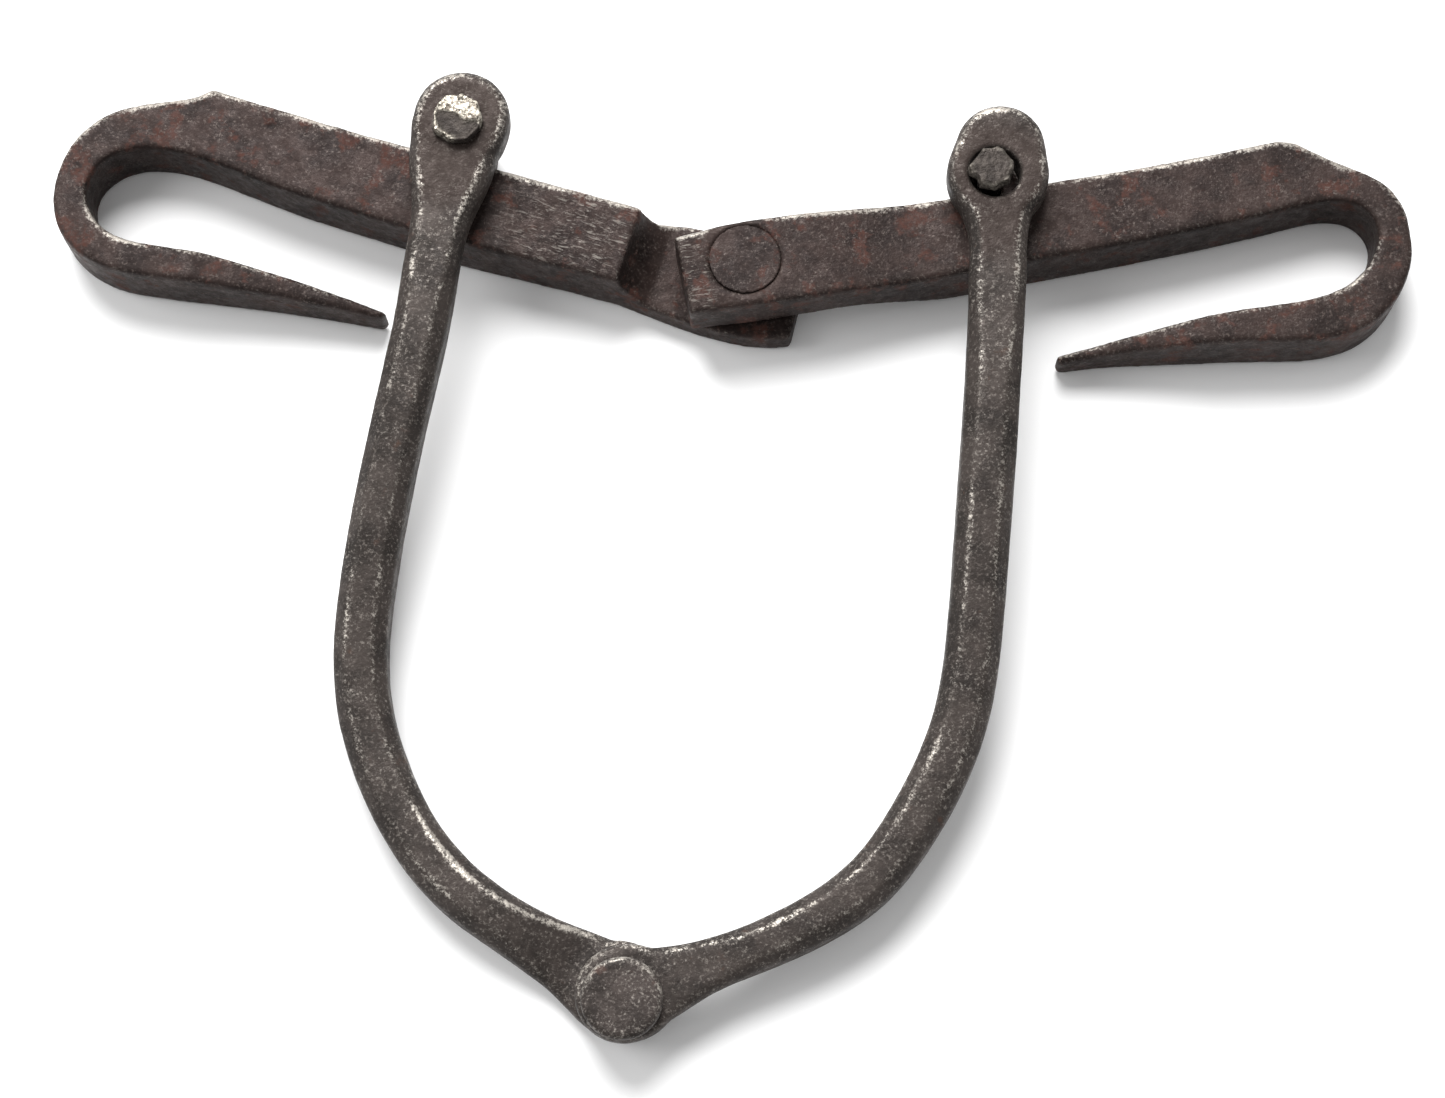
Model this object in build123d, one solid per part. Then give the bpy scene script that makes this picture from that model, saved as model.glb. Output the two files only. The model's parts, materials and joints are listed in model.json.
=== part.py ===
"""Folding hook linkage forged from iron bar, in millimetres.

Two square bars end in long narrow hooks and hinge on a centre rivet. Two round arms hang from a lug on
each bar and meet on a loop rivet, so that pulling the hooks back squeezes the loop of the two arms.
Every rivet axis is parallel to Z. The part lies flat, with its underside on Z = 0.
"""

import os
from math import cos, radians, sin

from build123d import *

# Rivet axes. The other three are measured from the centre rivet.
CENTRE = (3.84, 63.0)
LEFT_EYE = (-61.7, 24.7)
RIGHT_EYE = (50.7, 20.3)
LOOP = (-14.7, -154.1)

# Hook bars. Each is drawn in its own axes: x runs outward along the bar, y towards the far edge.
BAR_ANGLE = 13.2
EDGE_ROUND = 1.1
LIMB_EDGE = -20.0
LEFT_LIMB_TOP = [(60.0, 7.2), (120.0, 16.8)]
RIGHT_LIMB_TOP = [(50.0, 4.4), (100.0, 17.4)]

# Centre hinge.
TONGUE_THICK = 7.0
HINGE_GAP = 0.3
RIGHT_END_TOP = 19.0
CENTRE_HEAD_R = 7.5
CENTRE_SHANK_R = 5.0
CENTRE_HEAD_DEEP = 3.0

# Lugs on the far edge of the bars.
LUG_R = 7.4
LUG_BASE = 2.0
LUG_TOP = 16.0

# Arms. Each eye is the hull of two discs, given by their shifts from the hole and their radii.
LEFT_EYE_DISCS = [(0.2, -0.6, 10.1), (0.6, 1.7, 10.2)]
RIGHT_EYE_DISCS = [(0.8, 0.2, 10.8), (1.1, 6.1, 9.4)]
EYE_BASE = 16.4
EYE_TOP = 25.0
LEFT_LOOP_DISCS = [(0.0, 2.6, 9.8), (-1.2, 3.2, 9.8)]
RIGHT_LOOP_DISCS = [(0.0, 1.4, 9.8), (1.2, 1.8, 9.8)]
LOOP_EYE_THICK = 6.0
CORNER = 0.24

# Rivets.
RUNNING = 0.06
LIFT = 0.3
TAIL_FLARE = 1.6
EYE_SHANK_R = 3.7
EYE_HEAD_R = 5.6
WORN_HOLE_R = 5.25
WORN_SHANK_R = 2.55
WORN_HEAD_R = 4.9
WORN_SHIFT = 0.65
LOOP_SHANK_R = 4.2
LOOP_HEAD_R = 8.25
LEFT_RIM = [
    1.0, 0.95, 1.02, 0.94, 1.0, 0.93, 0.99, 0.92, 0.96,
    0.88, 0.97, 1.02, 0.93, 1.0, 0.96, 1.01, 0.94, 0.98,
]
RIGHT_RIM = [
    0.94, 1.0, 0.9, 0.98, 1.04, 0.9, 0.98, 0.84, 0.92,
    1.05, 1.04, 0.82, 1.02, 0.95, 1.0, 0.9, 1.0, 0.88,
]

# Outlines of the two bars, hook included, as points in the bar's own axes.
LEFT_FAR = [(17.0, 6.4), (30.0, 6.1), (54.0, 5.9), (78.0, 5.4), (100.0, 5.6), (120.2, 6.2)]
LEFT_BEND = [
    (123.0, 3.7),
    (130.4, 0.1),
    (136.4, -3.0),
    (141.2, -7.0),
    (144.4, -12.2),
    (145.7, -18.4),
    (145.2, -25.0),
    (142.8, -31.2),
    (137.8, -36.0),
    (130.0, -38.7),
    (120.0, -38.4),
    (106.0, -36.1),
    (90.0, -33.6),
    (70.4, -31.3),
]
LEFT_SLOT = [
    (69.8, -29.1),
    (84.0, -28.7),
    (100.0, -28.9),
    (114.0, -29.8),
    (125.0, -31.1),
    (131.4, -30.4),
    (136.0, -27.2),
    (138.4, -22.0),
    (136.8, -16.2),
    (132.0, -12.1),
    (125.0, -10.2),
    (117.0, -10.0),
    (104.0, -11.3),
    (84.0, -12.4),
    (58.0, -12.7),
    (36.0, -11.9),
    (17.0, -11.7),
]
RIGHT_FAR = [(-14.0, 7.7), (-3.0, 8.6), (20.0, 8.4), (46.0, 7.7), (70.0, 7.7), (94.0, 8.1), (115.6, 9.1)]
RIGHT_BEND = [
    (119.4, 8.0),
    (125.0, 3.7),
    (130.6, 0.0),
    (135.6, -3.8),
    (138.6, -9.2),
    (139.1, -15.6),
    (137.4, -23.4),
    (133.4, -29.4),
    (128.0, -33.8),
    (119.0, -36.4),
    (105.6, -35.2),
    (90.0, -33.0),
    (61.7, -30.2),
]
RIGHT_SLOT = [
    (61.2, -27.8),
    (76.0, -27.3),
    (92.0, -26.8),
    (108.0, -26.8),
    (119.0, -26.2),
    (125.6, -23.6),
    (130.2, -19.0),
    (132.0, -13.6),
    (129.8, -9.0),
    (124.0, -6.6),
    (116.0, -6.8),
    (102.0, -7.9),
    (80.0, -8.9),
    (44.0, -9.8),
    (10.0, -10.6),
    (-13.4, -9.9),
]
TONGUE_FAR = [(24.0, 5.8), (16.0, 8.0), (4.0, 8.6), (-12.4, 6.6)]
TONGUE_NEAR = [(-13.0, -9.9), (-5.0, -12.4), (3.0, -13.1), (12.0, -12.8), (24.0, -11.6)]

# Side outlines of the bars, as level knots of x and z joined by smooth ramps.
LEFT_TOP = [(-30.0, 16.0), (60.0, 16.0), (150.0, 15.0)]
LEFT_BASE = [(-30.0, 0.0), (150.0, 0.0)]
RIGHT_TOP = [(-30.0, 19.0), (10.0, 19.0), (39.0, 16.0), (60.0, 16.0), (150.0, 15.0)]
RIGHT_BASE = [(-30.0, 7.3), (16.0, 7.3), (47.0, 0.0), (150.0, 0.0)]

# Arm stations from the bar eye to the loop eye: x and y from the centre rivet, width, underside, top.
LEFT_ARM = [
    (-61.9, 24.3, 19.4, 16.4, 25.0),
    (-62.5, 16.4, 18.2, 16.4, 25.0),
    (-63.0, 10.2, 15.4, 16.4, 25.0),
    (-63.7, 3.8, 12.5, 16.4, 25.0),
    (-64.5, -3.8, 11.8, 16.2, 25.0),
    (-65.6, -16.0, 11.6, 13.0, 24.8),
    (-68.0, -34.0, 11.4, 11.4, 23.4),
    (-70.6, -52.0, 11.3, 8.6, 20.6),
    (-72.7, -72.0, 11.3, 5.2, 17.2),
    (-73.1, -86.0, 11.3, 3.0, 15.0),
    (-71.3, -98.5, 11.3, 1.4, 13.4),
    (-66.6, -110.8, 11.3, 0.7, 12.7),
    (-58.9, -123.6, 11.2, 0.4, 12.3),
    (-49.0, -133.6, 11.3, 0.25, 12.0),
    (-40.3, -139.1, 11.4, 0.2, 11.0),
    (-31.5, -143.6, 12.8, 0.2, 7.8),
    (-26.1, -146.1, 14.8, 0.2, 5.9),
    (-20.6, -149.4, 17.4, 0.2, 5.8),
    (-14.7, -151.5, 18.2, 0.2, 5.8),
]
RIGHT_ARM = [
    (51.5, 22.0, 18.0, 16.4, 25.0),
    (51.5, 16.8, 17.6, 16.4, 25.0),
    (51.8, 12.2, 14.8, 16.4, 25.0),
    (52.2, 8.0, 12.6, 16.4, 25.0),
    (52.4, -1.0, 12.1, 16.4, 25.0),
    (52.5, -8.2, 12.0, 16.2, 25.0),
    (52.5, -20.4, 11.7, 13.1, 25.0),
    (52.2, -38.4, 11.7, 12.0, 24.0),
    (51.8, -58.0, 11.6, 9.9, 21.9),
    (51.3, -76.0, 11.5, 7.8, 19.8),
    (50.0, -90.0, 11.5, 6.3, 18.3),
    (46.6, -102.8, 11.5, 5.0, 17.0),
    (40.8, -115.3, 11.2, 4.0, 16.0),
    (31.8, -128.2, 10.8, 3.4, 15.2),
    (20.6, -136.7, 10.2, 3.2, 14.6),
    (9.6, -142.5, 10.0, 4.6, 13.6),
    (1.4, -146.2, 11.0, 6.5, 12.6),
    (-3.0, -148.2, 12.8, 6.6, 12.2),
    (-8.4, -150.6, 15.6, 6.6, 12.1),
    (-14.7, -152.8, 17.8, 6.6, 12.1),
]


def cylinder(x, y, radius, base, top):
    return Pos(x, y, (base + top) / 2) * Cylinder(radius, top - base)


def frustum(x, y, low_r, high_r, base, top):
    return Pos(x, y, (base + top) / 2) * Cone(low_r, high_r, top - base)


def disc(x, y, radius, base, top, bevel):
    blank = cylinder(x, y, radius, base, top)
    return chamfer(blank.edges().filter_by(GeomType.CIRCLE), bevel)


def eye(x, y, discs, base, top, bevel):
    """A flat eye: the hull of discs shifted from the hole, with bevelled rims."""
    rims = [(Pos(x + a, y + b) * Circle(radius)).edge() for a, b, radius in discs]
    blank = Pos(0, 0, base) * extrude(make_hull(rims), top - base)
    return chamfer([e for e in blank.edges() if abs(e.tangent_at(0.5).Z) < 0.5], bevel)


def prism(points, base, top):
    return Pos(0, 0, base) * extrude(make_face(Polyline(*points, close=True)), top - base)


def side_prism(edges, near, far):
    """Extrudes a closed outline, drawn in the x-z plane, between two y values."""
    return Pos(0, near, 0) * extrude(make_face(edges), far - near, dir=(0, 1, 0))


def side_curve(knots):
    """Level knots in the x-z plane joined by ramps that start and end level."""
    edges = []
    for (x0, z0), (x1, z1) in zip(knots, knots[1:]):
        if z0 == z1:
            edges.append(Line((x0, 0, z0), (x1, 0, z1)))
        else:
            edges.append(Spline((x0, 0, z0), (x1, 0, z1), tangents=[(1, 0, 0), (1, 0, 0)]))
    return edges


def side_line(*points):
    return [Polyline(*[(x, 0, z) for x, z in points])]


def bar_blank(far_edge, bend, slot, top_knots, base_knots, limb_top):
    """A bar and its hook: the plan outline cut to the side outline, with the hook limb thinned."""
    plan = [
        Spline(*far_edge),
        Line(far_edge[-1], bend[0]),
        Spline(*bend),
        Line(bend[-1], slot[0]),
        Spline(*slot),
        Line(slot[-1], far_edge[0]),
    ]
    outline = side_curve(top_knots) + side_curve(base_knots)
    outline += side_line(top_knots[0], base_knots[0]) + side_line(top_knots[-1], base_knots[-1])
    blank = extrude(make_face(plan), 24.0) & side_prism(outline, -60.0, 30.0)
    (start, low), (end, high) = limb_top
    wedge = side_line((start, low), (end, high), (end, 30.0), (start, 30.0), (start, low))
    blank -= side_prism(wedge, -60.0, LIMB_EDGE)
    return blank


def rounded(bar, keep_from):
    """Rounds every edge of a bar but the upright ones and those before the given x."""
    edges = [e for e in bar.edges() if abs(e.tangent_at(0.5).Z) < 0.9 and e.center().X > keep_from]
    return fillet(edges, EDGE_ROUND)


def lug(x, y):
    """An ear on the far edge of a bar, in the bar's own axes."""
    web = Pos(x, y / 2, (LUG_BASE + LUG_TOP) / 2) * Box(2 * LUG_R - 1.6, y, LUG_TOP - LUG_BASE - 2.0)
    return disc(x, y, LUG_R, LUG_BASE, LUG_TOP, 1.0) + web


def placed(solid, left):
    """Turns a solid from a bar's own axes to its place in the part."""
    if left:
        solid = Rot(0, 0, -BAR_ANGLE) * mirror(solid, about=Plane.YZ)
    else:
        solid = Rot(0, 0, BAR_ANGLE) * solid
    return Pos(CENTRE[0], CENTRE[1], 0) * solid


def in_bar(point, left):
    """A point given from the centre rivet, in the axes of a bar."""
    x = -point[0] if left else point[0]
    c, s = cos(radians(BAR_ANGLE)), sin(radians(BAR_ANGLE))
    return x * c + point[1] * s, point[1] * c - x * s


def at(point):
    return CENTRE[0] + point[0], CENTRE[1] + point[1]


def arm_section(station, before, after):
    """An octagon standing across the arm, its flat sides level and upright."""
    x, y, width, base, top = station
    along = Vector(after[0] - before[0], after[1] - before[1], 0).normalized()
    plane = Plane(origin=(x, y, (base + top) / 2), x_dir=(-along.Y, along.X, 0), z_dir=along)
    w, h = width / 2, (top - base) / 2
    c = CORNER * min(width, top - base)
    quarter = [(w, h - c), (w - c, h)]
    points = quarter + [(-u, v) for u, v in reversed(quarter)]
    points += [(-u, -v) for u, v in quarter] + [(u, -v) for u, v in reversed(quarter)]
    return plane * make_face(Polyline(*points, close=True))


def arm(stations, spot, discs, loop_base, loop_discs):
    """A rod with an eye at each end, before the holes."""
    spots = [stations[0]] + stations + [stations[-1]]
    faces = [arm_section(b, a, c) for a, b, c in zip(spots, spots[1:], spots[2:])]
    rod = Pos(CENTRE[0], CENTRE[1], 0) * loft(faces)
    x, y = at(spot)
    rod += eye(x, y, discs, EYE_BASE, EYE_TOP, 1.4)
    x, y = at(LOOP)
    rod += eye(x, y, loop_discs, loop_base, loop_base + LOOP_EYE_THICK, 0.9)
    return rod


def ragged_head(x, y, radius, base, top, notches):
    """A hammered rivet head, its rim drawn as a share of the radius at equal steps round it."""
    step = 360 / len(notches)
    rim = [
        (x + radius * n * cos(radians(i * step)), y + radius * n * sin(radians(i * step)))
        for i, n in enumerate(notches)
    ]
    blank = prism(rim, base, top)
    return chamfer(blank.faces().sort_by(Axis.Z)[-1].edges(), 0.5)


os.makedirs("parts", exist_ok=True)

# Left hook bar: a stepped-down tongue at the hinge, behind a hollow shoulder.
blank = bar_blank(LEFT_FAR, LEFT_BEND, LEFT_SLOT, LEFT_TOP, LEFT_BASE, LEFT_LIMB_TOP)
left_bar = rounded(blank, 18.0)
shoulder = side_line((10, TONGUE_THICK), (17.8, TONGUE_THICK))
shoulder.append(ThreePointArc((17.8, 0, TONGUE_THICK), (22.4, 0, 10.6), (24.4, 0, 16.4)))
shoulder += side_line((24.4, 16.4), (24.4, 30), (10, 30), (10, TONGUE_THICK))
left_bar -= side_prism(shoulder, -40.0, 30.0)
tongue_plan = [Spline(*TONGUE_FAR), Line(TONGUE_FAR[-1], TONGUE_NEAR[0]), Spline(*TONGUE_NEAR)]
tongue_plan.append(Line(TONGUE_NEAR[-1], TONGUE_FAR[0]))
left_bar += extrude(make_face(tongue_plan), TONGUE_THICK)
lug_x, lug_y = in_bar(LEFT_EYE, True)
left_bar += lug(lug_x, lug_y)
left_bar = placed(left_bar, True)

# Right hook bar: its hinge end rides on the tongue, and the bar steps down to the table beyond it.
blank = bar_blank(RIGHT_FAR, RIGHT_BEND, RIGHT_SLOT, RIGHT_TOP, RIGHT_BASE, RIGHT_LIMB_TOP)
right_bar = rounded(blank, -50.0)
pin = (RIGHT_EYE[0] - WORN_SHIFT, RIGHT_EYE[1])
lug_x, lug_y = in_bar(pin, False)
right_bar += lug(lug_x, lug_y)
right_bar = placed(right_bar, False)

# Centre rivet, riveted flush in the tongue and turning in the right bar.
cx, cy = CENTRE
head_base = RIGHT_END_TOP - CENTRE_HEAD_DEEP
centre_tail = frustum(cx, cy, CENTRE_SHANK_R + TAIL_FLARE, CENTRE_SHANK_R, 0.0, 2.0)
centre_shank = cylinder(cx, cy, CENTRE_SHANK_R, 0.0, head_base)
centre_head = frustum(cx, cy, CENTRE_SHANK_R, CENTRE_HEAD_R, head_base, RIGHT_END_TOP)
centre_rivet = centre_tail + centre_shank + centre_head
left_bar -= centre_tail + centre_shank
right_bar -= cylinder(cx, cy, CENTRE_SHANK_R + RUNNING, 0.0, 30.0)
right_bar -= frustum(
    cx,
    cy,
    CENTRE_SHANK_R + RUNNING,
    CENTRE_HEAD_R + 0.35,
    head_base - 0.4,
    RIGHT_END_TOP,
)

# Arms.
left_arm = arm(LEFT_ARM, LEFT_EYE, LEFT_EYE_DISCS, 0.0, LEFT_LOOP_DISCS)
right_arm = arm(RIGHT_ARM, RIGHT_EYE, RIGHT_EYE_DISCS, LOOP_EYE_THICK + HINGE_GAP, RIGHT_LOOP_DISCS)

# Left eye rivet, tight in the lug and turning in the eye.
x, y = at(LEFT_EYE)
head_base = EYE_TOP + LIFT
eye_shank = cylinder(x, y, EYE_SHANK_R, LUG_BASE, head_base)
eye_shank += frustum(x, y, EYE_SHANK_R + TAIL_FLARE, EYE_SHANK_R, LUG_BASE, LUG_BASE + 2.0)
left_eye_rivet = eye_shank + ragged_head(x, y, EYE_HEAD_R, head_base, head_base + 2.8, LEFT_RIM)
left_bar -= eye_shank
left_arm -= cylinder(x, y, EYE_SHANK_R + RUNNING, 0.0, 40.0)

# Right eye rivet, worn thin, loose in a worn hole.
x, y = at(pin)
worn_shank = cylinder(x, y, WORN_SHANK_R, LUG_BASE, head_base)
worn_shank += frustum(x, y, WORN_SHANK_R + TAIL_FLARE, WORN_SHANK_R, LUG_BASE, LUG_BASE + 2.0)
right_eye_rivet = worn_shank + ragged_head(
    x, y, WORN_HEAD_R, head_base, head_base + 2.2, RIGHT_RIM
)
right_bar -= worn_shank
hole_x, hole_y = at(RIGHT_EYE)
right_arm -= cylinder(hole_x, hole_y, WORN_HOLE_R, 0.0, 40.0)

# Loop rivet, riveted flush under the left arm, with a flat button head on the right arm.
x, y = at(LOOP)
loop_top = 2 * LOOP_EYE_THICK + HINGE_GAP + LIFT
loop_body = cylinder(x, y, LOOP_SHANK_R, 0.0, loop_top)
loop_body += frustum(x, y, LOOP_SHANK_R + TAIL_FLARE, LOOP_SHANK_R, 0.0, 2.0)
button = cylinder(x, y, LOOP_HEAD_R, loop_top, loop_top + 3.0)
loop_rivet = loop_body + chamfer(button.edges().sort_by(Axis.Z)[-1], 0.8)
left_arm -= loop_body
right_arm -= cylinder(x, y, LOOP_SHANK_R + RUNNING, 0.0, 40.0)

nodes = {
    "left_hook_bar": left_bar,
    "right_hook_bar": right_bar,
    "left_arm": left_arm,
    "right_arm": right_arm,
    "centre_rivet": centre_rivet,
    "left_eye_rivet": left_eye_rivet,
    "right_eye_rivet": right_eye_rivet,
    "loop_rivet": loop_rivet,
}
for name, solid in nodes.items():
    box = solid.bounding_box()
    low = [round(v, 2) for v in box.min]
    high = [round(v, 2) for v in box.max]
    print(name, len(solid.solids()), round(solid.volume), low, high)
    export_step(solid, f"parts/{name}.step")
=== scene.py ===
import json
from math import cos, radians, sin

import bpy
import numpy as np
from mathutils import Matrix, Vector


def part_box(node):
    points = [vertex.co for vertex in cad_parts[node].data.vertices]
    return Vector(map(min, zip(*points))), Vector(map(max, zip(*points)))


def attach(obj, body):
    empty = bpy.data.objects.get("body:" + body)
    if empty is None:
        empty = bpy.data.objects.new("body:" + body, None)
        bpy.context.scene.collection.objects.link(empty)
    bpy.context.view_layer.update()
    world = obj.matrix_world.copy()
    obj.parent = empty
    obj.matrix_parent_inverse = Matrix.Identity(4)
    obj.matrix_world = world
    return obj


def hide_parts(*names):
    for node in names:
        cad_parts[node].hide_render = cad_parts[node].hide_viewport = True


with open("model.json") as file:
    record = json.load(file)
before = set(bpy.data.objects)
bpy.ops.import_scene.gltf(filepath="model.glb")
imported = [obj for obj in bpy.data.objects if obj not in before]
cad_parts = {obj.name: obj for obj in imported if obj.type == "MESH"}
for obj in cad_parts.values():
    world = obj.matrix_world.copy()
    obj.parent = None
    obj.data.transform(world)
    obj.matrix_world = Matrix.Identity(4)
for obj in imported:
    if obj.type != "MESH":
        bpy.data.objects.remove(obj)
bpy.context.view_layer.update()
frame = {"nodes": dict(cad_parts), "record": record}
MM = 0.001

JOINTS = {joint["name"]: joint for joint in frame["record"]["behaviour"]["joints"]}
CENTRE = np.array(JOINTS["centre_hinge"]["pos_m"][:2]) / MM
LEFT_EYE = np.array(JOINTS["left_eye_hinge"]["pos_m"][:2]) / MM
LOOP = np.array(JOINTS["loop_hinge"]["pos_m"][:2]) / MM
RIGHT_EYE = np.mean(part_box("right_eye_rivet"), axis=0)[:2] / MM

# Slope of each hook bar in plan, outward from the centre rivet.
BAR_ANGLE = radians(13.2)

# Depth taken off by each kind of forging mark, and the size of the mark, in millimetres.
WAVE_DEPTH, WAVE_SIZE = 0.09, 22
DENT_DEPTH, DENT_SIZE = 0.12, 9.0
SCALE_DEPTH, SCALE_SIZE = 0.05, 3.0

# The small pit in the left bar: its depth and spread, and its place along and across the bar.
PIT_DEPTH, PIT_SPREAD = 0.45, 1.1
PIT_ALONG, PIT_ACROSS = 105.4, 1.3

# How far a point stands out of, or lies below, the surface blurred over BLUR_REACH
# where a ridge counts as fully rubbed and lit, or a hollow as fully darkened by grime and painted
# shade.
BLUR_REACH, FULL_RIDGE, FULL_HOLLOW = 1.6, 0.26, 0.22

# The eye rivets' heads are worked above this height.
EYE_HEAD_BASE = 25.4

# The centre rivet's seat in the right bar: where it starts, how far the head swells into it,
# and the radii between which the rubbed shine and painted highlight round it come back.
SEAT_BASE, SEAT_SWELL = 16.5, 0.36
SEAT_INNER, SEAT_OUTER = 9.0, 10.2


# ---------------------------------------------------------------- noise, in millimetres

def lattice(cells, seed):
    """A repeatable random number from 0 to 1 for each whole-number cell."""
    x, y, z = (cells[:, k].astype(np.uint64) for k in range(3))
    h = x * np.uint64(73856093) ^ y * np.uint64(19349663) ^ z * np.uint64(83492791)
    h ^= np.uint64(seed * 2654435761 % 2**32)
    h = (h ^ (h >> np.uint64(13))) * np.uint64(1274126177)
    h = (h ^ (h >> np.uint64(16))) * np.uint64(2246822519)
    return ((h ^ (h >> np.uint64(15))) & np.uint64(0xFFFFFF)).astype(float) / 0xFFFFFF


def noise(points, size, seed):
    """Smooth noise from -1 to 1 whose lumps are about size millimetres across."""
    p = points / size + 1000.0
    cell = np.floor(p).astype(np.int64)
    f = p - cell
    f = f * f * (3 - 2 * f)
    total = np.zeros(len(p))
    for corner in np.ndindex(2, 2, 2):
        weight = np.prod(np.where(corner, f, 1 - f), axis=1)
        total += weight * lattice(cell + corner, seed)
    return total * 2 - 1


def layered(points, size, seed, octaves=3):
    """Noise with finer layers added."""
    total, weight = np.zeros(len(points)), 1.0
    for k in range(octaves):
        total += weight * noise(points + 17.3 * k, size / 2**k, seed + k)
        weight *= 0.55
    return total / 1.6


def dents(points, size, seed):
    """Shallow round dents, 0 at the rim of each and 1 in its middle."""
    p = points / size + 500.0
    cell = np.floor(p).astype(np.int64)
    nearest = np.full(len(p), 9.0)
    for step in np.ndindex(3, 3, 3):
        spot = cell + step - 1
        place = np.stack([lattice(spot, seed + k) for k in range(3)], 1)
        nearest = np.minimum(nearest, np.linalg.norm(spot + place - p, axis=1))
    return np.clip(1 - nearest / 0.75, 0, 1)


def ramp(value, low, high):
    """A smooth step from 0 at low to 1 at high."""
    t = np.clip((value - low) / (high - low), 0, 1)
    return t * t * (3 - 2 * t)


# ---------------------------------------------------------------- meshes

def remeshed(node, voxel):
    """An even mesh of a CAD node in millimetres: vertices, quads as Blender holds them."""
    source = frame["nodes"][node]
    mesh = source.data.copy()
    mesh.transform(Matrix.Scale(1 / MM, 4))
    temp = bpy.data.objects.new("temp_" + node, mesh)
    bpy.context.collection.objects.link(temp)
    weld = temp.modifiers.new("weld", "WELD")
    weld.merge_threshold = 0.002
    mod = temp.modifiers.new("remesh", "REMESH")
    mod.mode, mod.voxel_size, mod.adaptivity = "VOXEL", voxel, 0.0
    graph = bpy.context.evaluated_depsgraph_get()
    result = bpy.data.meshes.new_from_object(temp.evaluated_get(graph))
    bpy.data.objects.remove(temp)
    return result


class Shape:
    """The vertices of a mesh in millimetres, with what is needed to smooth and displace them."""

    def __init__(self, mesh):
        self.mesh = mesh
        self.points = np.empty(len(mesh.vertices) * 3)
        mesh.vertices.foreach_get("co", self.points)
        self.points = self.points.reshape(-1, 3)
        ends = np.empty(len(mesh.edges) * 2, dtype=np.int32)
        mesh.edges.foreach_get("vertices", ends)
        self.a, self.b = ends.reshape(-1, 2).T
        n = len(self.points)
        self.degree = np.maximum(np.bincount(self.a, minlength=n) + np.bincount(self.b, minlength=n), 1)

    def average(self, values):
        """Each vertex's mean over its neighbours."""
        n = len(self.points)
        columns = values.reshape(n, -1)
        out = np.empty_like(columns)
        for k in range(columns.shape[1]):
            c = columns[:, k]
            out[:, k] = np.bincount(self.a, c[self.b], n) + np.bincount(self.b, c[self.a], n)
        return (out / self.degree[:, None]).reshape(values.shape)

    def relax(self, values, rounds):
        """Values drawn towards their neighbours' mean, round after round."""
        for _ in range(rounds):
            values = values * 0.4 + self.average(values) * 0.6
        return values

    def normals(self):
        """Vertex normals of the mesh at the present points."""
        self.mesh.vertices.foreach_set("co", self.points.ravel())
        self.mesh.update()
        out = np.empty(len(self.points) * 3)
        self.mesh.vertex_normals.foreach_get("vector", out)
        return out.reshape(-1, 3)

    def store(self, name, values):
        """Keep a value for each vertex, for the materials to read."""
        layer = self.mesh.attributes.new(name, "FLOAT", "POINT")
        layer.data.foreach_set("value", values.astype(np.float32))


def forged(node, body, slot, voxel, rounds, sculpt, material):
    """A detailed piece in place of a CAD node: evened, edges eased, then worked by sculpt.

    The ridge attribute marks rubbed edges, with more painted highlight where they face the back light;
    the hollow attribute marks hollows, darkened as grime and painted shade.
    """
    voxel *= 1.0
    shape = Shape(remeshed(node, voxel))
    rounds = max(1, round(rounds / (1.0)))
    shape.points = shape.relax(shape.points, rounds)
    normals = shape.normals()
    depth = sculpt(shape, shape.points, normals)
    shape.points -= normals * depth[:, None]
    normals = shape.normals()
    blurred = shape.relax(shape.points, round((BLUR_REACH / voxel) ** 2 * 1.2))
    bulge = np.einsum("ij,ij->i", shape.points - blurred, normals)
    # lit: ridges turned towards the back light get more painted highlight on top of the rubbed metal;
    # it is held back round the centre rivet's seat and the right eye rivet.
    lit = 0.35 + 0.65 * ramp(normals[:, 1], -0.15, 0.3)
    lit *= 1 - around(shape.points, CENTRE, SEAT_INNER, SEAT_OUTER)
    lit *= 1 - 0.8 * around(shape.points, RIGHT_EYE, 6.2, 7.5)
    shape.store("ridge", np.clip(bulge / FULL_RIDGE, 0, 1) * lit)
    # hollow: how deep a point lies in a crease; the materials darken it as grime and painted shade.
    shape.store("hollow", np.clip(-bulge / FULL_HOLLOW, 0, 1))
    shape.points *= MM
    mesh = shape.mesh
    mesh.vertices.foreach_set("co", shape.points.ravel())
    mesh.polygons.foreach_set("use_smooth", np.ones(len(mesh.polygons), dtype=bool))
    mesh.materials.clear()
    mesh.materials.append(material)
    mesh.name = node + "_forged"
    piece = bpy.data.objects.new(node + "_forged", mesh)
    bpy.context.collection.objects.link(piece)
    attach(piece, body)
    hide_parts(node)


def around(points, axis, inner, outer):
    """1 within inner of an upright axis, falling to 0 at outer."""
    return 1 - ramp(np.hypot(points[:, 0] - axis[0], points[:, 1] - axis[1]), inner, outer)


def hammered(points, seed):
    """Depth taken off a forged surface: slow waves, hammer dents and scale."""
    depth = WAVE_DEPTH * (1 + layered(points, WAVE_SIZE, seed))
    depth += DENT_DEPTH * dents(points, DENT_SIZE, seed + 10)
    depth += SCALE_DEPTH * (1 + layered(points, SCALE_SIZE, seed + 20))
    return depth


def bar_axes(points, left):
    """Plan positions along a bar, outward from the centre rivet, and across it."""
    x, y = (points[:, :2] - CENTRE).T
    if left:
        x = -x
    return x * cos(BAR_ANGLE) + y * sin(BAR_ANGLE), y * cos(BAR_ANGLE) - x * sin(BAR_ANGLE)


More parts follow.
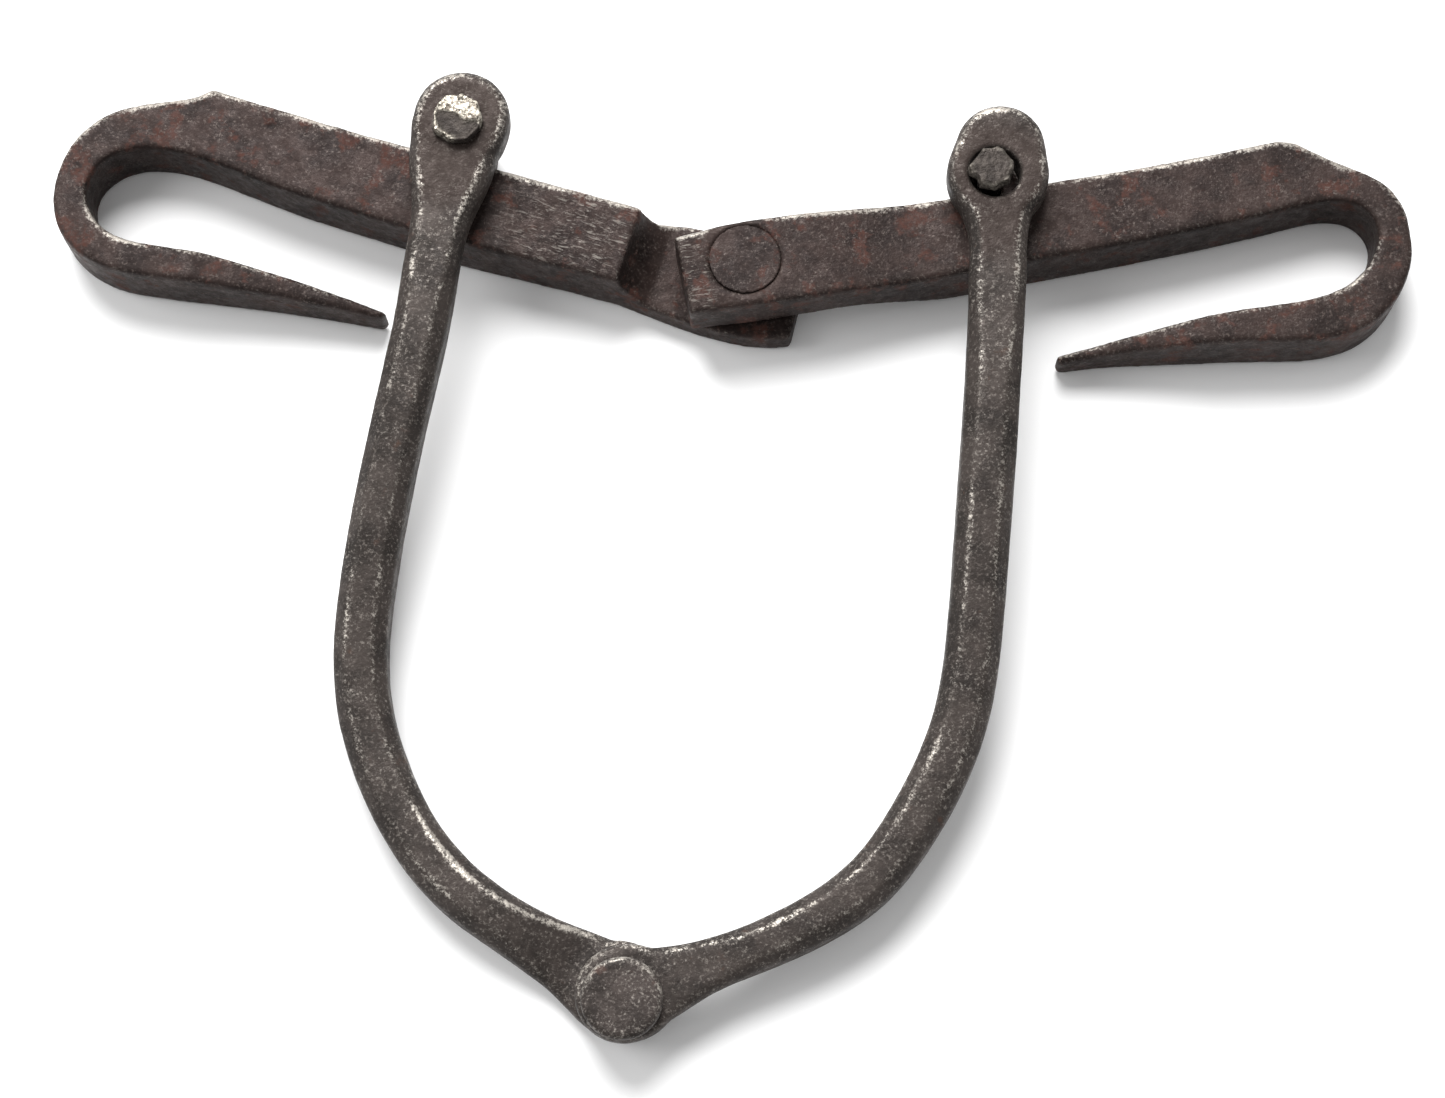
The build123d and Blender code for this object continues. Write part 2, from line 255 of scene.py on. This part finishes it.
def bar_work(shape, points, normals, left):
    """Forging marks of a hook bar, its drawn-out grain and a bright band painted along its far edges
    where they face the back light: painted highlight, partly rubbed metal.
    """
    depth = hammered(points, 3 if left else 31)
    rough = np.clip(layered(points, 1.5, 40, 2), 0, 1)
    depth += 0.12 * rough * (1 - np.abs(normals[:, 2]) ** 4)
    along, across = bar_axes(points, left)
    upper = ramp(normals[:, 2], 0.3, 0.8)
    if left:
        streaks = (1 - ramp(along, 38, 60)) * ramp(along, 22, 26) * upper
    else:
        streaks = (0.10 + 1.1 * (1 - ramp(along, -9.5, -6))) * upper
    shape.store("streaks", np.clip(streaks * (0.8 + 0.5 * layered(points, 6, 55)), 0, 1))
    # far: painted highlight on faces turned to the back light and up, spread into a band; partly rubbed
    # metal. Weaker along the slot edges and kept off the centre rivet's seat.
    far = ramp(normals[:, 1], 0.05, 0.4) * ramp(normals[:, 2], 0.1, 0.5)
    far *= 1 - 0.5 * ramp(-across, 20, 24) * (1 - ramp(along, 118, 128))
    wide = np.clip(1.7 * shape.relax(far, 12), 0, 1)
    off_seat = 1 - around(points, CENTRE, SEAT_INNER, SEAT_OUTER)
    shape.store("far", wide * ramp(normals[:, 2], 0.1, 0.5) * off_seat)
    if left:
        off_centre = (along - PIT_ALONG) ** 2 + (across - PIT_ACROSS) ** 2
        depth += PIT_DEPTH * np.exp(-off_centre / PIT_SPREAD)
    return depth * (1 - 0.75 * around(points, CENTRE, 8.5, 12))


def left_bar_work(shape, points, normals):
    return bar_work(shape, points, normals, True)


def right_bar_work(shape, points, normals):
    return bar_work(shape, points, normals, False)


def arm_work(shape, points, normals):
    """Hammered, with a bright crest along each side of the top facet (rubbed metal and painted
    highlight, stronger on sides facing the back light), and duller, darker flat eyes.
    """
    blurred = shape.relax(points, 14)
    bulge = np.einsum("ij,ij->i", points - blurred, normals)
    # crest: bulging edges of the top facet, rubbed metal, with more painted highlight on sides turned
    # to the back light.
    crest = ramp(bulge, 0.022, 0.10) * ramp(normals[:, 2], 0.55, 0.75)
    crest *= 0.6 + 0.4 * ramp(normals[:, 1], -0.3, 0.3)
    crest *= 1 - around(points, RIGHT_EYE, 6.5, 8.5)
    # dull: the flat tops round the eyes, which get a darker tone and fewer glints.
    near_eyes = [around(points, eye + (0, -4), 12, 19) for eye in (LEFT_EYE, RIGHT_EYE)]
    shape.store("dull", np.maximum(*near_eyes) * ramp(normals[:, 2], 0.85, 0.97))
    # Extra painted highlight on the inner sides turned to the back light, near the loop.
    inner = ramp(normals[:, 1], -0.05, 0.25)
    patchy = 0.75 + 0.6 * layered(points, 14, 71)
    patchy += 0.8 * inner * around(points, LOOP + (-27, 26), 13, 28)
    shape.store("streaks", np.zeros(len(points)))
    shape.store("far", np.clip(shape.relax(crest, 3) * patchy, 0, 1))
    return hammered(points, 60) * 0.8


def rivet_work(shape, points, normals):
    """Lightly peened; the flush head of the centre rivet swells to fill its seat."""
    # far: painted highlight on faces turned to the back light, kept off the centre rivet's seat.
    far = 0.6 * ramp(normals[:, 1], 0.08, 0.5) * ramp(normals[:, 2], 0.15, 0.55)
    shape.store("far", far * (1 - around(points, CENTRE, SEAT_INNER, SEAT_OUTER)))
    shape.store("streaks", np.zeros(len(points)))
    side = 1 - ramp(normals[:, 2], 0.5, 0.9)
    seat = around(points, CENTRE, 9, 10) * ramp(points[:, 2], SEAT_BASE, SEAT_BASE + 1.5) * side
    return 0.05 * (1 + layered(points, 2.0, 90)) + 0.06 * dents(points, 3.5, 93) - SEAT_SWELL * seat


def left_head_work(shape, points, normals):
    """Rough torn metal over the far half of the head and round its rim, and a smooth near half."""
    x, y = (points[:, :2] - LEFT_EYE).T
    top = ramp(points[:, 2], EYE_HEAD_BASE, EYE_HEAD_BASE + 1.0)
    edge = y + 0.35 * x - 0.1 + 0.8 * noise(points, 2.0, 5)
    torn = ramp(edge, -0.4, 0.4)
    rim = ramp(np.hypot(x, y), 3.9, 4.8) * ramp(-x, -1.0, 2.0)
    torn = np.maximum(torn, rim) * top
    shape.store("torn", torn)
    crumbs = 0.5 + 0.5 * layered(points, 1.1, 7, 3)
    level = 0.75 + 0.08 * layered(points, 3.0, 8)
    smooth_part = level * (1 - torn) * top * ramp(normals[:, 2], 0.2, 0.8)
    return 0.75 * crumbs * torn + smooth_part


def right_head_work(shape, points, normals):
    """A crumbling dark end, pitted on top and broken round its rim."""
    top = ramp(points[:, 2], EYE_HEAD_BASE, EYE_HEAD_BASE + 0.8)
    x, y = (points[:, :2] - RIGHT_EYE).T
    rim = ramp(np.hypot(x, y), 3.2, 4.6)
    shape.store("torn", 0.22 * top * rim)
    crumbs = 0.5 + 0.5 * layered(points, 1.3, 17, 3)
    return top * crumbs * (0.25 + 0.45 * rim)


# ---------------------------------------------------------------- materials

SPECULAR = 0.2
# Colour painted where the shine is high: rubbed bare metal, partly painted highlight and glints.
WORN_AND_LIT_METAL = (0.46, 0.425, 0.38)
# A darker tone for the flat tops round the eyes.
EYE_FLAT_TONE = (0.026, 0.0165, 0.0135)

# Dark, middle and rust tones of the iron, and the share of it that is rusty.
BAR_TONES = (0.013, 0.0080, 0.0070), (0.029, 0.0185, 0.0160), (0.052, 0.0215, 0.0160), 0.46
SEAT_TONES = (0.014, 0.0090, 0.0080), (0.031, 0.0205, 0.0180), (0.052, 0.0215, 0.0160), 0.46
ARM_TONES = (0.020, 0.0162, 0.0143), (0.044, 0.0355, 0.0315), (0.054, 0.033, 0.025), 0.38
RIVET_TONES = (0.022, 0.0175, 0.0155), (0.050, 0.0400, 0.0360), (0.060, 0.034, 0.026), 0.38


class Nodes:
    """Short calls for building a material's node tree."""

    def __init__(self, name):
        self.material = bpy.data.materials.new(name)
        self.material.use_nodes = True
        self.tree = self.material.node_tree
        self.shader = self.tree.nodes["Principled BSDF"]
        coordinates = self.tree.nodes.new("ShaderNodeTexCoord")
        self.place = coordinates.outputs["Object"]

    def link(self, value, socket):
        """Give a socket another node's output, or a plain value."""
        if isinstance(value, bpy.types.NodeSocket):
            self.tree.links.new(value, socket)
        else:
            socket.default_value = value

    def stretched(self, scale, turn=0.0):
        """Coordinates in which a texture is drawn out by scale along an axis turned in plan."""
        node = self.tree.nodes.new("ShaderNodeMapping")
        node.vector_type = "TEXTURE"
        self.tree.links.new(self.place, node.inputs["Vector"])
        node.inputs["Scale"].default_value = scale
        node.inputs["Rotation"].default_value = (0, 0, turn)
        return node.outputs["Vector"]

    def noise(self, size_mm, detail=3.0, rough=0.55, vector=None, warp=0.0):
        node = self.tree.nodes.new("ShaderNodeTexNoise")
        self.tree.links.new(vector or self.place, node.inputs["Vector"])
        node.inputs["Scale"].default_value = 1000 / size_mm
        node.inputs["Detail"].default_value = detail
        node.inputs["Roughness"].default_value = rough
        node.inputs["Distortion"].default_value = warp
        return node.outputs["Fac"]

    def cells(self, size_mm):
        node = self.tree.nodes.new("ShaderNodeTexVoronoi")
        self.tree.links.new(self.place, node.inputs["Vector"])
        node.inputs["Scale"].default_value = 1000 / size_mm
        return node.outputs["Distance"]

    def attribute(self, name):
        node = self.tree.nodes.new("ShaderNodeAttribute")
        node.attribute_name = name
        return node.outputs["Fac"]

    def between(self, value, low, high, out_low=0.0, out_high=1.0):
        """A smooth step from out_low at low to out_high at high."""
        node = self.tree.nodes.new("ShaderNodeMapRange")
        node.interpolation_type = "SMOOTHSTEP"
        self.link(value, node.inputs["Value"])
        self.link(low, node.inputs["From Min"])
        self.link(high, node.inputs["From Max"])
        self.link(out_low, node.inputs["To Min"])
        self.link(out_high, node.inputs["To Max"])
        return node.outputs["Result"]

    def math(self, kind, a, b=0.0):
        node = self.tree.nodes.new("ShaderNodeMath")
        node.operation = kind
        self.link(a, node.inputs[0])
        self.link(b, node.inputs[1])
        return node.outputs["Value"]

    def mix(self, factor, a, b):
        node = self.tree.nodes.new("ShaderNodeMix")
        node.data_type = "RGBA"
        self.link(factor, node.inputs[0])
        for value, socket in ((a, node.inputs[6]), (b, node.inputs[7])):
            self.link((*value, 1.0) if isinstance(value, tuple) else value, socket)
        return node.outputs[2]

    def bump(self, height, strength, distance_mm, under=None):
        node = self.tree.nodes.new("ShaderNodeBump")
        node.inputs["Strength"].default_value = strength
        node.inputs["Distance"].default_value = distance_mm * MM
        self.tree.links.new(height, node.inputs["Height"])
        if under:
            self.tree.links.new(under, node.inputs["Normal"])
        return node.outputs["Normal"]

    def finish(self, colour, rough, metal, normal):
        self.shader.inputs["Specular IOR Level"].default_value = SPECULAR
        self.link(colour, self.shader.inputs["Base Color"])
        self.link(rough, self.shader.inputs["Roughness"])
        self.link(metal, self.shader.inputs["Metallic"])
        self.link(normal, self.shader.inputs["Normal"])
        return self.material


def iron(name, tones, wear_and_highlight, glitter, turn=0.0):
    """Old forged iron: mottled patina, rust and fine grain; hollows darkened as grime and painted
    shade; rubbed ridges painted bright, more where they face the back light (rubbed metal and painted
    highlight).

    The two strengths after the tones are the shine of rubbed ridges, partly painted highlight, and of
    scattered specks, painted as glints; turn is the angle in plan along which streaks are drawn out.
    """
    n = Nodes(name)
    dark, mid, rust, rust_share = tones
    ridge, hollow = n.attribute("ridge"), n.attribute("hollow")
    far, streaks = n.attribute("far"), n.attribute("streaks")
    blotch = n.between(n.noise(9, 5, 0.62), 0.36, 0.64)
    colour = n.mix(blotch, dark, mid)
    patch = n.between(n.noise(6, 5, 0.65), 1 - rust_share, 1.10 - rust_share)
    patch = n.math("MULTIPLY", patch, n.between(n.noise(0.8, 2), 0.3, 0.6, 0.35, 1.0))
    colour = n.mix(patch, colour, rust)
    dusty = n.between(n.noise(0.7, 3, 0.7), 0.52, 0.72, 0.0, 0.55)
    colour = n.mix(dusty, colour, tuple(v * 1.9 for v in mid))
    # Scattered bright specks, painted glints; fewer on the flat eye tops.
    speck = n.between(n.noise(0.7, 5, 0.8), 0.50, 0.76)
    sparse = n.math("MULTIPLY", speck, n.between(n.noise(5, 2), 0.36, 0.64, 0.3, 1.0))
    dull = n.attribute("dull")
    sparse = n.math("MULTIPLY", sparse, n.math("SUBTRACT", 1.0, n.math("MULTIPLY", dull, 0.6)))
    # The flat tops round the eyes get a darker tone.
    colour = n.mix(n.math("MULTIPLY", dull, 0.65), colour, EYE_FLAT_TONE)
    # Bright metal colour painted on rubbed ridges and on the far band facing the back light (rubbed
    # metal and painted highlight), on grain streaks, and on specks as painted glints.
    worn_and_lit = n.math("MAXIMUM", ridge, far)
    worn_and_lit = n.math("MULTIPLY", worn_and_lit, n.between(n.noise(8, 3), 0.30, 0.60, 0.45, 1.0))
    flecks = n.between(n.noise(0.8, 5, 0.8), 0.36, 0.64, -0.50, 0.24)
    shine = n.between(n.math("ADD", worn_and_lit, flecks), 0.25, 0.95, 0.0, wear_and_highlight)
    grain = n.noise(0.55, 3, 0.6, n.stretched((4.0, 1.0, 1.0), turn), 0.8)
    lines = n.math("MULTIPLY", n.between(grain, 0.54, 0.68), streaks)
    shine = n.math("MAXIMUM", shine, n.math("MULTIPLY", lines, 0.28))
    shine = n.math("MAXIMUM", shine, n.math("MULTIPLY", sparse, glitter))
    colour = n.mix(shine, colour, WORN_AND_LIT_METAL)
    # Hollows darkened: grime and painted shade.
    colour = n.mix(n.between(hollow, 0.1, 0.9, 0.0, 0.7), colour, tuple(v * 0.4 for v in dark))
    rough = n.between(n.noise(2.4, 4, 0.6), 0.3, 0.7, 0.46, 0.68)
    rough = n.math("ADD", rough, n.math("MULTIPLY", patch, 0.2))
    rough = n.math("SUBTRACT", rough, n.math("MULTIPLY", shine, 0.15))
    metal = n.math("SUBTRACT", 0.40, n.math("MULTIPLY", patch, 0.35))
    metal = n.math("MAXIMUM", metal, shine)
    normal = n.bump(n.noise(1.6, 4, 0.62), 0.5, 0.35)
    normal = n.bump(n.between(n.cells(2.6), 0.0, 0.22), 0.3, 0.25, normal)
    normal = n.bump(n.noise(0.45, 2, 0.6), 0.6, 0.12, normal)
    normal = n.bump(n.math("MULTIPLY", grain, streaks), 0.5, 0.4, normal)
    return n.finish(colour, rough, metal, normal)


def torn_iron(name):
    """A hammered rivet end: bright torn metal where the torn attribute says so, dark iron elsewhere."""
    n = Nodes(name)
    torn, hollow = n.attribute("torn"), n.attribute("hollow")
    colour = n.mix(n.between(n.noise(2.5, 4), 0.35, 0.65), (0.020, 0.016, 0.014), (0.048, 0.040, 0.035))
    bright = n.mix(n.between(n.noise(0.7, 3), 0.35, 0.65), (0.10, 0.085, 0.07), (0.52, 0.48, 0.41))
    colour = n.mix(torn, colour, bright)
    # Hollows darkened: grime and painted shade.
    colour = n.mix(n.between(hollow, 0.15, 0.9, 0.0, 0.8), colour, (0.03, 0.025, 0.02))
    rough = n.between(n.noise(1.2, 3), 0.3, 0.7, 0.36, 0.55)
    rough = n.math("SUBTRACT", rough, n.math("MULTIPLY", torn, 0.1))
    metal = n.math("ADD", 0.5, n.math("MULTIPLY", torn, 0.4))
    normal = n.bump(n.noise(0.9, 4, 0.6), 0.9, 0.4)
    normal = n.bump(n.noise(0.3, 2), 0.5, 0.1, normal)
    return n.finish(colour, rough, metal, normal)


left_bar_iron = iron("left_bar_iron", BAR_TONES, 0.62, 0.20, -BAR_ANGLE)
right_bar_iron = iron("right_bar_iron", BAR_TONES, 0.62, 0.20, BAR_ANGLE)
arm_iron = iron("arm_iron", ARM_TONES, 0.95, 0.50)
rivet_iron = iron("rivet_iron", RIVET_TONES, 0.8, 0.60)
seat_iron = iron("seat_iron", SEAT_TONES, 0.6, 0.22, BAR_ANGLE)
bright_iron = torn_iron("bright_iron")

# Node, body, material slot, voxel in millimetres, rounds of easing, working and material.
PIECES = [
    ("left_hook_bar", "left_bar", "bar_iron", 0.45, 9, left_bar_work, left_bar_iron),
    ("right_hook_bar", "right_bar", "bar_iron", 0.45, 9, right_bar_work, right_bar_iron),
    ("left_arm", "left_arm_body", "arm_iron", 0.42, 12, arm_work, arm_iron),
    ("right_arm", "right_arm_body", "arm_iron", 0.42, 12, arm_work, arm_iron),
    ("centre_rivet", "left_bar", "rivet_iron", 0.28, 3, rivet_work, seat_iron),
    ("loop_rivet", "left_arm_body", "rivet_iron", 0.28, 8, rivet_work, rivet_iron),
    ("left_eye_rivet", "left_bar", "bright_iron", 0.22, 4, left_head_work, bright_iron),
    ("right_eye_rivet", "right_bar", "rivet_iron", 0.22, 4, right_head_work, bright_iron),
]
for piece in PIECES:
    forged(*piece)


# ---------------------------------------------------------------- floor, light and camera

def sheet_mesh(name, half, z, steps=24):
    """A level square sheet of small faces."""
    line = np.linspace(-half, half, steps + 1)
    vertices = [(x, y, z) for y in line for x in line]
    row = steps + 1
    faces = [
        (i + j * row, i + 1 + j * row, i + 1 + (j + 1) * row, i + (j + 1) * row)
        for j in range(steps)
        for i in range(steps)
    ]
    mesh = bpy.data.meshes.new(name)
    mesh.from_pydata(vertices, [], faces)
    obj = bpy.data.objects.new(name, mesh)
    bpy.context.collection.objects.link(obj)
    return obj


floor = sheet_mesh("floor", 2.5, -0.0001)
pale = Nodes("pale_floor")
pale_tint = pale.mix(pale.noise(60, 3), (0.86, 0.86, 0.86), (0.90, 0.90, 0.90))
floor.data.materials.append(pale.finish(pale_tint, 0.9, 0.0, pale.bump(pale.noise(0.9, 2), 0.05, 0.1)))


def area_light(name, place, size, power):
    """A round soft light that faces the part."""
    data = bpy.data.lights.new(name, "AREA")
    data.shape, data.size, data.energy = "DISK", size, power
    obj = bpy.data.objects.new(name, data)
    bpy.context.collection.objects.link(obj)
    obj.location = place
    obj.rotation_euler = (-Vector(place)).to_track_quat("-Z", "Y").to_euler()


area_light("back_light", place=(-0.30, 1.08, 1.30), size=1.2, power=54)
area_light("left_light", place=(-1.2, 0.1, 1.1), size=0.9, power=9)
world = bpy.data.worlds.new("studio")
world.use_nodes = True
background = world.node_tree.nodes["Background"]
background.inputs["Color"].default_value = (1, 1, 1, 1)
background.inputs["Strength"].default_value = 0.58
scene = bpy.context.scene
scene.world = world
scene.view_settings.view_transform = "Standard"
scene.view_settings.look = "None"

# The photo's viewpoint: the camera's place in metres, its right and up directions, and its lens.
CAMERA_PLACE = (0.01982, -0.16950, 0.63386)
CAMERA_RIGHT = (0.997908, 0.064053, -0.009327)
CAMERA_UP = (-0.059243, 0.961856, 0.267076)
LENS_MM, SENSOR_MM = 78.48, 36.0

camera_data = bpy.data.cameras.new("camera")
camera = bpy.data.objects.new("camera", camera_data)
bpy.context.collection.objects.link(camera)
camera_data.sensor_width = SENSOR_MM
camera_data.lens = LENS_MM
camera_data.clip_start, camera_data.clip_end = 0.05, 10.0
right = Vector(CAMERA_RIGHT).normalized()
up = Vector(CAMERA_UP)
up = (up - right * up.dot(right)).normalized()
turn = Matrix((right, up, right.cross(up))).transposed().to_4x4()
camera.matrix_world = Matrix.Translation(CAMERA_PLACE) @ turn
scene.camera = camera
